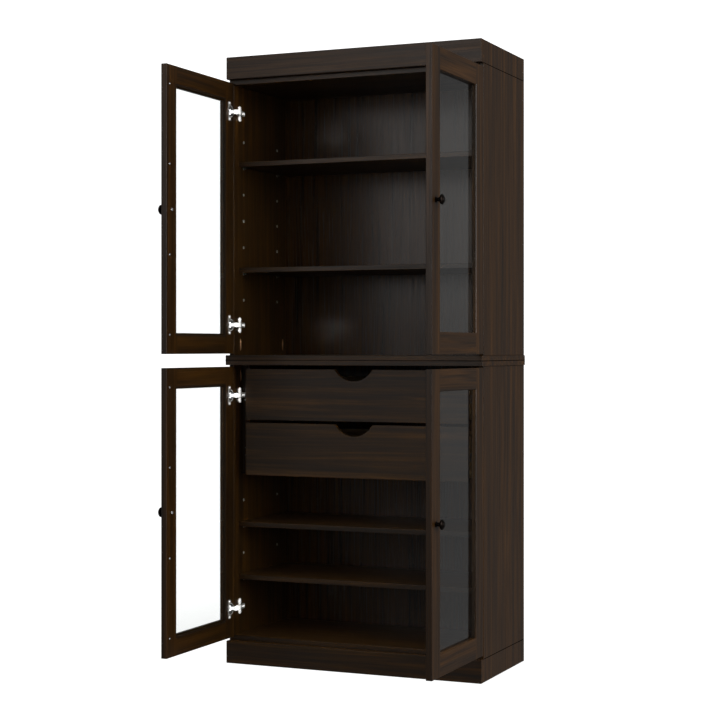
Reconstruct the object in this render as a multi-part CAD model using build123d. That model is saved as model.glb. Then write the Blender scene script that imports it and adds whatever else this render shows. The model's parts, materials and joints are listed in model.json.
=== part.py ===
from build123d import *
import math
import os

os.makedirs("parts", exist_ok=True)

# A tall china cabinet in two tiers. Each tier has a pair of glazed doors on concealed hinges and two
# adjustable shelves, and the lower tier has two inner drawers as well. All sizes are in millimetres.
# X runs across the cabinet, Y from its front to its back and Z up. The origin is on the floor, at the
# centre of the plinth. The doors stand open, square to the front, and the drawers are pushed in.

# ---- Carcass ----
cabinet_width = 815.0  # across the side panels
cabinet_depth = 390.0  # from the face of the plinth to the back edge of the sides
plinth_height = 67.0
cornice_height = 67.0
lower_tier_height = 832.5
upper_tier_height = 832.5
panel_thickness = 15.0
front_rail_thickness = 25.0  # front rails of plinth and cornice
waist_overhang = 3.0  # how far the two waist panels stand past each side
back_panel_thickness = 6.0
back_inset = 2.0  # from the back edge of the sides to the back panel
rabbet_width = 7.5  # how far the back panel runs into each side
back_panel_play = 0.5
eased_radius = 1.5  # rounding of every exposed arris

# ---- Adjustable shelves ----
shelf_setback = 31.0  # from the front edge of the sides
shelf_play = 1.0  # at each end and at the back
pin_pitch = 80.4
lower_first_pin_height = 162.5  # from the bottom panel up to the first pin
upper_first_pin_height = 167.0  # from the top panel down to the first pin
front_pin_setback = 64.0  # from the front edge of the sides to the front row of pins
rear_pin_inset = 67.0  # from the back panel to the rear row of pins
pin_radius = 2.5
pin_length_outside = 8.5
pin_depth = 8.0
sleeve_wall = 1.0
sleeve_flange_width = 0.9
sleeve_flange_thickness = 0.5
lower_shelf_rows = (0, 2)  # counted from the closed end of the tier
upper_shelf_rows = (1, -2)  # the second one from the closed end and from the waist

# ---- Doors ----
door_thickness = 18.0
door_back_gap = 3.0  # from a closed door to the front edge of the sides
door_side_reveal = 1.0  # from a side's outer face to the door's hinge edge
door_meeting_gap = 3.0
door_waist_gap = 4.5
door_end_gap = 10.5  # beside the plinth and the cornice
frame_width = 60.0  # of stiles and rails
tenon_length = 12.0
tenon_thickness = 6.0
tenon_width = 36.0
tenon_depth = 1.75  # from the door's face to the tenon
glass_rabbet_width = 9.5
glass_thickness = 3.0
glass_play = 1.0
bead_width = 5.0
bead_thickness = 2.5
bead_setback = 0.5  # from the door's inner face to the bead
bead_groove_width = 1.2  # of the narrow groove between the bead and the frame
bead_groove_depth = 1.5
lip_chamfer = 1.5

# ---- Knobs and the small screws of a door ----
knob_from_edge = 30.0
knob_radius = 14.0
knob_length = 24.0
knob_neck_radius = 5.5
knob_foot_radius = 8.0
knob_foot_thickness = 3.0
knob_head_thickness = 11.0
knob_widest_share = 0.42  # of the head's thickness, from its back to its widest circle
knob_shoulder_share = 0.93  # the same to its shoulder, which has half its radius
knob_screw_radius = 2.0
knob_screw_head_radius = 4.2
knob_screw_head_thickness = 2.0
knob_screw_grip = 11.0
knob_bore_clearance = 0.3
stile_screw_from_edge = 17.5
stile_screw_from_end = 54.75  # from a door's top or bottom to its outer screws
stile_screw_from_middle = 128.0  # from the middle of the door to its inner screws
stile_screw_head_radius = 3.0
stile_screw_head_thickness = 1.0
stile_screw_radius = 1.5
stile_screw_length = 10.0

# ---- Concealed hinges ----
hinge_from_end = 87.0  # from a door's top or bottom to the middle of its hinge
pivot_from_edge = 7.5
pivot_depth = 9.0  # below the door's inner face
cup_radius = 17.5
cup_wall = 1.0
cup_depth = 12.4
cup_floor = 0.8
cup_edge_distance = 3.0  # from the door's edge to the cup's bore
cup_wing_half_width = 6.5
cup_wing_offset = 9.5  # from the cup's axis to its screws, away from the hinge edge
cup_wing_thickness = 1.0
cup_screw_distance = 6.0  # from the cup's bore to its screws
cup_wing_end = 5.5  # past the cup's screws
hinge_pin_radius = 1.2
hinge_pin_half_length = 8.0
lug_inner = 5.0
lug_half_width = 2.2
knuckle_radius = 2.2
knuckle_half_width = 4.5
running_clearance = 0.05
arm_sheet = 2.0  # thickness of the arm where it enters the cup
arm_offset = 12.0  # from the pivot to the arm's outer face
arm_thickness = 5.0
arm_half_width = 7.25
arm_rear_setback = 53.0  # from the front edge of the sides to the arm's rear end
plate_wing_thickness = 2.0
plate_wing_half_width = 7.0
plate_wing_length = 23.0
plate_screw_setback = 37.0
plate_screw_spacing = 32.0
plate_boss_half_width = 5.5
plate_front_setback = 14.0
wood_screw_radius = 1.75
wood_screw_head_radius = 3.6
wood_screw_head_thickness = 1.8
wood_screw_length = 12.0
arm_screw_radius = 2.0
arm_screw_setback = 46.0
arm_screw_depth = 3.5

# ---- Pocket screws, waist bolts and back nails ----
pocket_angle = 15.0
pocket_radius = 4.75
pocket_height = 32.0  # from the board's end to the middle of the oval mouth
pocket_floor_height = 10.0
pocket_front_setback = 44.0
pocket_rear_inset = 26.0
pocket_screw_radius = 1.9
pocket_screw_head_radius = 4.0
pocket_screw_head_thickness = 2.0
pocket_screw_reach = 10.5  # past the board's end
waist_bolt_radius = 3.0
waist_bolt_head_radius = 7.0
waist_bolt_head_thickness = 1.5
waist_bolt_inset_x = 100.0
waist_bolt_inset_y = 75.0
nail_radius = 0.8
nail_head_radius = 2.5
nail_head_thickness = 0.6
nail_length = 18.0
nails_per_side = 5
nail_end_distance = 60.0

# ---- Inner drawers ----
drawer_front_setback = 5.0  # from the front edge of the sides to the drawer's face
drawer_top_gap = 11.5
drawer_between_gap = 8.5
top_drawer_height = 154.0
bottom_drawer_height = 158.0
drawer_front_thickness = 15.0
spacer_thickness = 24.0
spacer_setback = 56.0
slide_thickness = 12.5  # of both rails together
drawer_side_thickness = 12.0
drawer_side_height = 116.0
drawer_side_lift = 12.0  # from the bottom of the front to the bottom of the sides
drawer_rear_gap = 11.0  # from the back of the drawer to the back panel
drawer_bottom_thickness = 4.0
drawer_bottom_lift = 8.0
drawer_groove_depth = 6.0
scoop_width = 120.0
scoop_depth = 35.0
slide_rail_height = 27.0
slide_sheet = 1.2
slide_play = 1.0
slide_web_gap = 2.1  # from the edge of the inner rail to the web of the outer one
slide_front_inset = 3.0
slide_rear_inset = 6.0
slide_screw_inset = 30.0
slide_screw_length = 8.0
slide_screw_head_thickness = 1.2
slide_screw_head_radius = 3.2

# ---- Places worked out from the sizes above ----
half_width = cabinet_width / 2
front_y = -cabinet_depth / 2
back_y = cabinet_depth / 2
inner_x = half_width - panel_thickness
carcass_front_y = front_y + door_thickness + door_back_gap
back_panel_y = back_y - back_inset - back_panel_thickness
lower_floor_z = plinth_height
lower_ceiling_z = lower_floor_z + lower_tier_height
upper_floor_z = lower_ceiling_z + 2 * panel_thickness
upper_ceiling_z = upper_floor_z + upper_tier_height
total_height = upper_ceiling_z + cornice_height

door_inner_y = front_y + door_thickness
hinge_edge_x = -half_width + door_side_reveal
free_edge_x = -door_meeting_gap / 2
pivot_x = hinge_edge_x + pivot_from_edge
pivot_y = door_inner_y - pivot_depth
cup_x = hinge_edge_x + cup_edge_distance + cup_radius
cup_wing_x = cup_x + cup_wing_offset
cup_screw_height = cup_radius + cup_screw_distance
cup_wing_length = cup_screw_height + cup_wing_end
glass_lip = door_thickness - glass_thickness - bead_thickness - bead_setback
lower_door_height = lower_tier_height - door_waist_gap - door_end_gap
upper_door_height = upper_tier_height - door_waist_gap - door_end_gap
lower_door_z = lower_floor_z + door_end_gap + lower_door_height / 2
upper_door_z = upper_floor_z + door_waist_gap + upper_door_height / 2

spacer_x = inner_x - spacer_thickness
spacer_front_y = carcass_front_y + spacer_setback
drawer_x = spacer_x - slide_thickness
drawer_face_y = carcass_front_y + drawer_front_setback
drawer_box_y = (drawer_face_y + drawer_front_thickness, back_panel_y - drawer_rear_gap)
cabinet_rail_y = (spacer_front_y + slide_front_inset, back_panel_y - slide_rear_inset)
top_drawer_z = lower_ceiling_z - drawer_top_gap - top_drawer_height
bottom_drawer_z = top_drawer_z - drawer_between_gap - bottom_drawer_height
spacer_bottom_z = bottom_drawer_z


# ---- Helpers ----
def board(x, y, z):
    """A rectangular piece between a pair of x, a pair of y and a pair of z."""
    size = (x[1] - x[0], y[1] - y[0], z[1] - z[0])
    return Pos((x[0] + x[1]) / 2, (y[0] + y[1]) / 2, (z[0] + z[1]) / 2) * Box(*size)


def eased_board(x, y, z):
    """A board with all its arrises rounded over."""
    piece = board(x, y, z)
    return fillet(piece.edges(), eased_radius)


def rod(start, end, radius):
    """A round bar from one point to another."""
    along = Vector(*end) - Vector(*start)
    plane = Plane(origin=start, z_dir=along)
    return extrude(plane * Circle(radius), amount=along.length)


def headed(start, end, radius, head_radius, head_thickness):
    """A screw or nail. Its head stands behind the start point and its shank ends at the end point."""
    along = (Vector(*end) - Vector(*start)).normalized()
    head_back = Vector(*start) - along * head_thickness
    return rod(start, end, radius) + rod(tuple(head_back), start, head_radius)


def mirrored(pieces):
    """The same pieces on the other side of the cabinet's centre plane."""
    return [mirror(piece, about=Plane.YZ) for piece in pieces]


def raised(pieces, z):
    return [Pos(0, 0, z) * piece for piece in pieces]


def without(piece, tools):
    """The piece with holes for the tools that reach it."""
    box = piece.bounding_box()
    for tool in tools:
        other = tool.bounding_box()
        apart = (
            other.min.X > box.max.X
            or other.max.X < box.min.X
            or other.min.Y > box.max.Y
            or other.max.Y < box.min.Y
            or other.min.Z > box.max.Z
            or other.max.Z < box.min.Z
        )
        if not apart:
            piece = piece - tool
    return piece


def write(node, pieces):
    """Writes a node as a STEP file, with each physical piece as a separate solid."""
    solids = [solid for piece in pieces for solid in piece.solids()]
    export_step(Compound(solids), f"parts/{node}.step")


# ---- Pocket screws ----
def pocket_tools(plane):
    """The pocket and the screw of one pocket joint. In the plane's own axes the board's end is at
    z = 0, and the face with the pocket is at x = 0 with the wood on its +x side."""
    slope = math.tan(math.radians(pocket_angle))

    def on_axis(height):
        return ((pocket_height - height) * slope, 0, height)

    mouth = on_axis(pocket_height + 2 * pocket_radius / math.sin(math.radians(pocket_angle)))
    pocket = rod(on_axis(pocket_floor_height), mouth, pocket_radius)
    seat = pocket_floor_height + pocket_screw_head_thickness * math.cos(math.radians(pocket_angle))
    shank = rod(on_axis(pocket_floor_height), on_axis(-pocket_screw_reach), pocket_screw_radius)
    head = rod(on_axis(pocket_floor_height), on_axis(seat), pocket_screw_head_radius)
    return plane.location * pocket, plane.location * (shank + head)


pocket_rows_y = (carcass_front_y + pocket_front_setback, back_panel_y - pocket_rear_inset)
pockets = []
pocket_screws = []
for row_y in pocket_rows_y:
    joints = [
        # the sides meet the waist panels
        Plane(origin=(-inner_x, row_y, upper_floor_z), x_dir=(-1, 0, 0), z_dir=(0, 0, 1)),
        Plane(origin=(-inner_x, row_y, lower_ceiling_z), x_dir=(-1, 0, 0), z_dir=(0, 0, -1)),
        # the end panels meet the sides, with their pockets hidden in the plinth and the cornice
        Plane(origin=(-inner_x, row_y, upper_ceiling_z), x_dir=(0, 0, -1), z_dir=(1, 0, 0)),
        Plane(origin=(-inner_x, row_y, lower_floor_z), x_dir=(0, 0, 1), z_dir=(1, 0, 0)),
    ]
    for joint in joints:
        pocket, pocket_screw = pocket_tools(joint)
        pockets.append(pocket)
        pocket_screws.append(pocket_screw)

# ---- Waist bolts and back nails ----
waist_bolts = []
for bolt_y in (carcass_front_y + waist_bolt_inset_y, back_panel_y - waist_bolt_inset_y):
    bolt_x = -inner_x + waist_bolt_inset_x
    above = (bolt_x, bolt_y, upper_floor_z)
    below = (bolt_x, bolt_y, lower_ceiling_z)
    bolt = rod(below, above, waist_bolt_radius)
    for face, direction in ((above, 1), (below, -1)):
        cap = (bolt_x, bolt_y, face[2] + direction * waist_bolt_head_thickness)
        bolt = bolt + rod(face, cap, waist_bolt_head_radius)
    waist_bolts.append(bolt)

back_nails = []
nail_x = -inner_x - rabbet_width / 2
nail_head_y = back_panel_y + back_panel_thickness
for floor_z, ceiling_z in ((lower_floor_z, lower_ceiling_z), (upper_floor_z, upper_ceiling_z)):
    nail_step = (ceiling_z - floor_z - 2 * nail_end_distance) / (nails_per_side - 1)
    for row in range(nails_per_side):
        nail_z = floor_z + nail_end_distance + row * nail_step
        start = (nail_x, nail_head_y, nail_z)
        end = (nail_x, nail_head_y - nail_length, nail_z)
        back_nails.append(headed(start, end, nail_radius, nail_head_radius, nail_head_thickness))


# ---- Shelf pins and their sleeves ----
def pin_heights(closed_end_z, direction, first_height, clear_height):
    """The heights of a tier's pins, counted from its closed end, with the same margin at its waist."""
    count = round((clear_height - 2 * first_height) / pin_pitch) + 1
    return [closed_end_z + direction * (first_height + row * pin_pitch) for row in range(count)]


pin_columns_y = (carcass_front_y + front_pin_setback, back_panel_y - rear_pin_inset)
sleeve_radius = pin_radius + sleeve_wall
lower_clear_height = lower_tier_height - panel_thickness
upper_clear_height = upper_tier_height - panel_thickness
lower_closed_z = lower_floor_z + panel_thickness
upper_closed_z = upper_ceiling_z - panel_thickness
lower_rows = pin_heights(lower_closed_z, 1, lower_first_pin_height, lower_clear_height)
upper_rows = pin_heights(upper_closed_z, -1, upper_first_pin_height, upper_clear_height)
open_rows = [z for z in lower_rows if z + sleeve_radius + sleeve_flange_width < spacer_bottom_z]
shelf_pin_heights = [lower_rows[row] for row in lower_shelf_rows]
shelf_pin_heights += [upper_rows[row] for row in upper_shelf_rows]

sleeves = []
shelf_pins = []
for column_y in pin_columns_y:
    for row_z in open_rows + upper_rows:
        mouth = (-inner_x, column_y, row_z)
        bottom = (-inner_x - pin_depth, column_y, row_z)
        rim = (-inner_x + sleeve_flange_thickness, column_y, row_z)
        sleeve = rod(bottom, mouth, sleeve_radius)
        sleeve = sleeve + rod(mouth, rim, sleeve_radius + sleeve_flange_width)
        sleeves.append(sleeve - rod(bottom, rim, pin_radius))
    for row_z in shelf_pin_heights:
        bottom = (-inner_x - pin_depth, column_y, row_z)
        tip = (-inner_x + pin_length_outside, column_y, row_z)
        pin = rod(bottom, tip, pin_radius)
        tip_edge = pin.edges().sort_by(Axis.X)[-1]
        shelf_pins.append(fillet(tip_edge, pin_radius / 2))
pin_bores = [
    rod((-inner_x - pin_depth, y, z), (-inner_x, y, z), sleeve_radius)
    for y in pin_columns_y
    for z in open_rows + upper_rows
]


# ---- Hinges, modelled at the left side with the middle of the hinge at z = 0 ----
plate_screw_y = carcass_front_y + plate_screw_setback
arm_screw_y = carcass_front_y + arm_screw_setback
arm_rear_y = carcass_front_y + arm_rear_setback
arm_x = pivot_x + arm_offset
arm_face_x = arm_x + arm_thickness


def hinge_arm():
    """The fixed arm. A knuckle turns on the pin in the cup, a flat tongue leaves the cup and a deeper
    channel runs back over the mounting plate."""
    sheet_y = (pivot_y - knuckle_radius, pivot_y - knuckle_radius + arm_sheet)
    width = (-knuckle_half_width, knuckle_half_width)
    knuckle = rod((pivot_x, pivot_y, width[0]), (pivot_x, pivot_y, width[1]), knuckle_radius)
    tongue = board((pivot_x, arm_face_x), sheet_y, width)
    channel = board((arm_x, arm_face_x), (sheet_y[0], arm_rear_y), (-arm_half_width, arm_half_width))
    long_edges = channel.edges().filter_by(Axis.Y).sort_by(Axis.X)[-2:]
    channel = fillet(long_edges, arm_sheet)
    bore = rod(
        (pivot_x, pivot_y, width[0]),
        (pivot_x, pivot_y, width[1]),
        hinge_pin_radius + running_clearance,
    )
    return knuckle + tongue + channel - bore


def hinge_plate():
    """The plate that is screwed to the side, with a boss that the arm is clamped to."""
    wings = board(
        (-inner_x, -inner_x + plate_wing_thickness),
        (plate_screw_y - plate_wing_half_width, plate_screw_y + plate_wing_half_width),
        (-plate_wing_length, plate_wing_length),
    )
    wings = fillet(wings.edges().filter_by(Axis.X), plate_wing_half_width / 2)
    boss = board(
        (-inner_x, arm_x),
        (carcass_front_y + plate_front_setback, arm_rear_y),
        (-plate_boss_half_width, plate_boss_half_width),
    )
    return wings + boss


def plate_screws():
    """Two screws that hold the plate to the side, and one that clamps the arm to the plate."""
    wing_x = -inner_x + plate_wing_thickness
    screws = []
    for direction in (-1, 1):
        screw_z = direction * plate_screw_spacing / 2
        start = (wing_x, plate_screw_y, screw_z)
        end = (wing_x - wood_screw_length, plate_screw_y, screw_z)
        head = (wood_screw_head_radius, wood_screw_head_thickness)
        screws.append(headed(start, end, wood_screw_radius, *head))
    start = (arm_face_x, arm_screw_y, 0)
    end = (arm_x - arm_screw_depth, arm_screw_y, 0)
    screws.append(
        headed(start, end, arm_screw_radius, wood_screw_head_radius, wood_screw_head_thickness)
    )
    return screws


def hinge_cup():
    """The cup that is pressed into the door, with two lugs for the pin and two wings for screws."""
    bottom_y = door_inner_y - cup_depth
    cavity_y = bottom_y + cup_floor
    wing_y = door_inner_y + cup_wing_thickness
    cup = rod((cup_x, bottom_y, 0), (cup_x, door_inner_y, 0), cup_radius)
    wing = board(
        (cup_wing_x - cup_wing_half_width, cup_wing_x + cup_wing_half_width),
        (door_inner_y, wing_y),
        (-cup_wing_length, cup_wing_length),
    )
    wing = fillet(wing.edges().filter_by(Axis.Y), cup_wing_half_width / 2)
    cup = cup + wing - rod((cup_x, cavity_y, 0), (cup_x, wing_y, 0), cup_radius - cup_wall)
    for low_z in (-hinge_pin_half_length, lug_inner):
        cup = cup + board(
            (pivot_x - lug_half_width, pivot_x + lug_half_width),
            (cavity_y, pivot_y + lug_half_width),
            (low_z, low_z + hinge_pin_half_length - lug_inner),
        )
    return cup - hinge_pin()


def hinge_pin():
    low = (pivot_x, pivot_y, -hinge_pin_half_length)
    high = (pivot_x, pivot_y, hinge_pin_half_length)
    return rod(low, high, hinge_pin_radius)


def cup_screws():
    wing_y = door_inner_y + cup_wing_thickness
    screws = []
    for direction in (-1, 1):
        start = (cup_wing_x, wing_y, direction * cup_screw_height)
        end = (cup_wing_x, wing_y - wood_screw_length, direction * cup_screw_height)
        head = (wood_screw_head_radius, wood_screw_head_thickness)
        screws.append(headed(start, end, wood_screw_radius, *head))
    return screws


def hinge_heights(door_height):
    """Where a door's two hinges are, from the middle of the door."""
    reach = door_height / 2 - hinge_from_end
    return (-reach, reach)


hinge_levels = [lower_door_z + z for z in hinge_heights(lower_door_height)]
hinge_levels += [upper_door_z + z for z in hinge_heights(upper_door_height)]
hinge_arms = []
hinge_plates = []
hinge_screws = []
for level in hinge_levels:
    screws = plate_screws()
    hinge_screws += raised(screws, level)
    hinge_arms += raised([without(hinge_arm(), screws)], level)
    hinge_plates += raised([without(hinge_plate(), screws)], level)


# ---- Drawers ----
def channel(web_x, open_x, y, z):
    """A sheet-metal channel that lies along Y, with its web at web_x and its mouth at open_x."""
    low_x, high_x = sorted((web_x, open_x))
    whole = board((low_x, high_x), y, z)
    step = slide_sheet if open_x > web_x else -slide_sheet
    hollow_x = sorted((web_x + step, open_x))
    return whole - board(hollow_x, y, (z[0] + slide_sheet, z[1] - slide_sheet))


def drawer_rails(middle_z):
    """The rail that is screwed to the spacer and the rail on the drawer, which runs inside it."""
    half_height = slide_rail_height / 2
    inner_half = half_height - slide_sheet - slide_play
    cabinet_mouth_x = -drawer_x - slide_sheet - slide_play
    drawer_mouth_x = -spacer_x + slide_sheet + slide_web_gap
    cabinet_z = (middle_z - half_height, middle_z + half_height)
    drawer_z = (middle_z - inner_half, middle_z + inner_half)
    cabinet_rail = channel(-spacer_x, cabinet_mouth_x, cabinet_rail_y, cabinet_z)
    drawer_rail = channel(-drawer_x, drawer_mouth_x, drawer_box_y, drawer_z)
    return cabinet_rail, drawer_rail


def rail_screws(web_x, direction, y, middle_z):
    """Two flat-headed screws through a rail's web, near its ends."""
    screws = []
    for screw_y in (y[0] + slide_screw_inset, y[1] - slide_screw_inset):
        start = (web_x + direction * slide_sheet, screw_y, middle_z)
        end = (web_x - direction * slide_screw_length, screw_y, middle_z)
        head = (slide_screw_head_radius, slide_screw_head_thickness)
        screws.append(headed(start, end, wood_screw_radius, *head))
    return screws


def drawer_front(z0, height):
    """The front board, with a scoop in its top edge for the fingers."""
    radius = (scoop_width**2 / 4 + scoop_depth**2) / (2 * scoop_depth)
    y = (drawer_face_y, drawer_face_y + drawer_front_thickness)
    front = board((-drawer_x, drawer_x), y, (z0, z0 + height))
    centre_z = z0 + height - scoop_depth + radius
    front = front - rod((0, y[0], centre_z), (0, y[1], centre_z), radius)
    outline = front.faces().sort_by(Axis.Y)[0].edges() + front.faces().sort_by(Axis.Y)[-1].edges()
    return fillet(outline, eased_radius)


def drawer_parts(z0, height):
    """One drawer, whose front board starts at z0: its front, sides, back and bottom."""
    front = drawer_front(z0, height)
    y = drawer_box_y
    z = (z0 + drawer_side_lift, z0 + drawer_side_lift + drawer_side_height)
    inside_x = drawer_x - drawer_side_thickness
    bottom_x = inside_x + drawer_groove_depth
    bottom_y = (y[0] - drawer_groove_depth, y[1] - drawer_side_thickness + drawer_groove_depth)
    bottom_z = z[0] + drawer_bottom_lift
    bottom = board((-bottom_x, bottom_x), bottom_y, (bottom_z, bottom_z + drawer_bottom_thickness))
    side = board((-drawer_x, -inside_x), y, z)
    back = board((-inside_x, inside_x), (y[1] - drawer_side_thickness, y[1]), z)
    sides = [side] + mirrored([side])
    return {
        "front": [front - bottom],
        "sides": [piece - bottom for piece in sides],
        "back": [back - bottom],
        "bottom": [bottom],
    }


spacer = board(
    (-inner_x, -spacer_x), (spacer_front_y, back_panel_y), (spacer_bottom_z, lower_ceiling_z)
)
spacer = fillet(spacer.faces().sort_by(Axis.Y)[0].edges(), eased_radius)
cabinet_rails = []
rail_fixings = []
drawers = {
    "top_drawer": (top_drawer_z, top_drawer_height),
    "bottom_drawer": (bottom_drawer_z, bottom_drawer_height),
}
for name, (front_z, front_height) in drawers.items():
    rail_z = front_z + drawer_side_lift + drawer_side_height / 2
    cabinet_rail, drawer_rail = drawer_rails(rail_z)
    cabinet_fixings = rail_screws(-spacer_x, 1, cabinet_rail_y, rail_z)
    drawer_fixings = rail_screws(-drawer_x, -1, drawer_box_y, rail_z)
    rail_fixings += cabinet_fixings
    cabinet_rails.append(without(cabinet_rail, cabinet_fixings))
    drawer_rail_set = [without(drawer_rail, drawer_fixings)] + drawer_fixings
    fixings = drawer_fixings + mirrored(drawer_fixings)
    for piece_name, pieces in drawer_parts(front_z, front_height).items():
        write(f"{name}_{piece_name}", [without(piece, fixings) for piece in pieces])
    write(f"{name}_rails", drawer_rail_set + mirrored(drawer_rail_set))
spacer = without(spacer, rail_fixings)

# ---- Carcass boards ----
left_tools = pockets + pocket_screws + back_nails + pin_bores + hinge_screws + rail_fixings


def side_panel(z):
    """The left side of a tier, eased outside and in front, with a rabbet for the back panel."""
    side = board((-half_width, -inner_x), (carcass_front_y, back_y), z)
    outside = side.edges().group_by(Axis.X)[0]
    in_front = [edge for edge in side.edges().group_by(Axis.Y)[0] if edge not in outside]
    side = fillet(outside + in_front, eased_radius)
    rabbet = board((-inner_x - rabbet_width, -inner_x), (back_panel_y, back_y), z)
    return without(side - rabbet, left_tools)


def back_panel(z):
    reach = inner_x + rabbet_width - back_panel_play
    back = board(
        (-reach, reach), (back_panel_y, back_panel_y + back_panel_thickness), z
    )
    return without(back, back_nails + mirrored(back_nails))


def wide_panel(half_length, y, z):
    """A horizontal panel with the holes of both sides' screws and bolts."""
    tools = pockets + pocket_screws + waist_bolts
    panel = eased_board((-half_length, half_length), y, z)
    return without(panel, tools + mirrored(tools))


lower_side = side_panel((lower_floor_z, lower_ceiling_z))
upper_side = side_panel((upper_floor_z, upper_ceiling_z))
write("lower_side_left", [lower_side])
write("lower_side_right", mirrored([lower_side]))
write("upper_side_left", [upper_side])
write("upper_side_right", mirrored([upper_side]))
write("lower_back_panel", [back_panel((lower_floor_z, lower_ceiling_z))])
write("upper_back_panel", [back_panel((upper_floor_z, upper_ceiling_z))])

between_y = (carcass_front_y, back_panel_y)
waist_x = half_width + waist_overhang
waist_z = lower_ceiling_z + panel_thickness
write(
    "bottom_panel",
    [wide_panel(inner_x, between_y, (lower_floor_z, lower_floor_z + panel_thickness))],
)
write(
    "top_panel",
    [wide_panel(inner_x, between_y, (upper_ceiling_z - panel_thickness, upper_ceiling_z))],
)
write("lower_waist_panel", [wide_panel(waist_x, (front_y, back_y), (lower_ceiling_z, waist_z))])
write("upper_waist_panel", [wide_panel(waist_x, (front_y, back_y), (waist_z, upper_floor_z))])


def rail_frame(z):
    """The four rails of the plinth or the cornice, rounded over as one frame."""
    whole = eased_board((-half_width, half_width), (front_y, back_y), z)
    side_y = (front_y + front_rail_thickness, back_y - panel_thickness)
    front = whole & board((-half_width, half_width), (front_y, side_y[0]), z)
    back = whole & board((-half_width, half_width), (side_y[1], back_y), z)
    end = whole & board((-half_width, -inner_x), side_y, z)
    return [front, back], [end] + mirrored([end]), side_y


plinth_rails, plinth_ends, plinth_side_y = rail_frame((0, plinth_height))
middle_rail = board((-panel_thickness / 2, panel_thickness / 2), plinth_side_y, (0, plinth_height))
cornice_rails, cornice_ends, cornice_side_y = rail_frame((upper_ceiling_z, total_height))
write("plinth_rails", plinth_rails + [middle_rail])
write("plinth_ends", plinth_ends)
write("cornice_rails", cornice_rails)
write("cornice_ends", cornice_ends)

shelf_reach = inner_x - shelf_play
shelf_y = (carcass_front_y + shelf_setback, back_panel_y - shelf_play)
shelves = [
    eased_board(
        (-shelf_reach, shelf_reach),
        shelf_y,
        (pin_z + pin_radius, pin_z + pin_radius + panel_thickness),
    )
    for pin_z in shelf_pin_heights
]
write("shelves", shelves)
write("shelf_pins", shelf_pins + mirrored(shelf_pins))
write("pin_sleeves", sleeves + mirrored(sleeves))
write("hinge_arms", hinge_arms + mirrored(hinge_arms))
write("hinge_plates", hinge_plates + mirrored(hinge_plates))
write("drawer_spacers", [spacer] + mirrored([spacer]))
write("slide_rails", cabinet_rails + mirrored(cabinet_rails))
carcass_screws = pocket_screws + waist_bolts + back_nails + hinge_screws + rail_fixings
write("carcass_screws", carcass_screws + mirrored(carcass_screws))


# ---- Doors, modelled closed at the left side with the middle of the door at z = 0 ----
def knob():
    """A round mushroom knob on a short foot, turned about its own axis."""
    foot = knob_foot_thickness
    back_of_head = knob_length - knob_head_thickness
    widest = back_of_head + knob_widest_share * knob_head_thickness
    shoulder = back_of_head + knob_shoulder_share * knob_head_thickness
    with BuildPart() as turned:
        with BuildSketch(Plane.XZ):
            with BuildLine():
                Polyline(
                    (0, knob_length),
                    (0, 0),
                    (knob_foot_radius, 0),
                    (knob_foot_radius, foot / 2),
                    (knob_neck_radius, foot),
                    (knob_neck_radius, back_of_head - foot),
                    (knob_radius - foot, back_of_head),
                )
                Spline(
                    (knob_radius - foot, back_of_head),
                    (knob_radius, widest),
                    (knob_radius / 2, shoulder),
                    (0, knob_length),
                    tangents=((1, 0.6), (-1, 0)),
                )
            make_face()
        revolve(axis=Axis.Z)
    return Pos(free_edge_x - knob_from_edge, front_y, 0) * Rot(X=90) * turned.part


def knob_screw():
    knob_x = free_edge_x - knob_from_edge
    start = (knob_x, door_inner_y, 0)
    end = (knob_x, front_y - knob_screw_grip, 0)
    head = (knob_screw_head_radius, knob_screw_head_thickness)
    return headed(start, end, knob_screw_radius, *head)


def stile_screws(half_height):
    """Four small screws down the door's free stile."""
    outer_z = half_height - stile_screw_from_end
    screws = []
    for z in (-outer_z, -stile_screw_from_middle, stile_screw_from_middle, outer_z):
        start = (free_edge_x - stile_screw_from_edge, door_inner_y, z)
        end = (free_edge_x - stile_screw_from_edge, door_inner_y - stile_screw_length, z)
        head = (stile_screw_head_radius, stile_screw_head_thickness)
        screws.append(headed(start, end, stile_screw_radius, *head))
    return screws


def door_opening(half_height):
    """The cutter for a door's glazed opening: the opening itself with a chamfered front arris, and
    the rabbet behind it."""
    x = (hinge_edge_x + frame_width, free_edge_x - frame_width)
    z = (-half_height + frame_width, half_height - frame_width)
    size = (x[1] - x[0], z[1] - z[0])
    face = Plane(origin=((x[0] + x[1]) / 2, front_y, 0), x_dir=(1, 0, 0), z_dir=(0, 1, 0))
    flare = Rectangle(size[0] + 2 * lip_chamfer, size[1] + 2 * lip_chamfer)
    wide_end = extrude(face * flare, amount=lip_chamfer, taper=45)
    rabbet = board(
        (x[0] - glass_rabbet_width, x[1] + glass_rabbet_width),
        (front_y + glass_lip, door_inner_y),
        (z[0] - glass_rabbet_width, z[1] + glass_rabbet_width),
    )
    return board(x, (front_y, door_inner_y), z) + wide_end + rabbet, x, z


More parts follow.
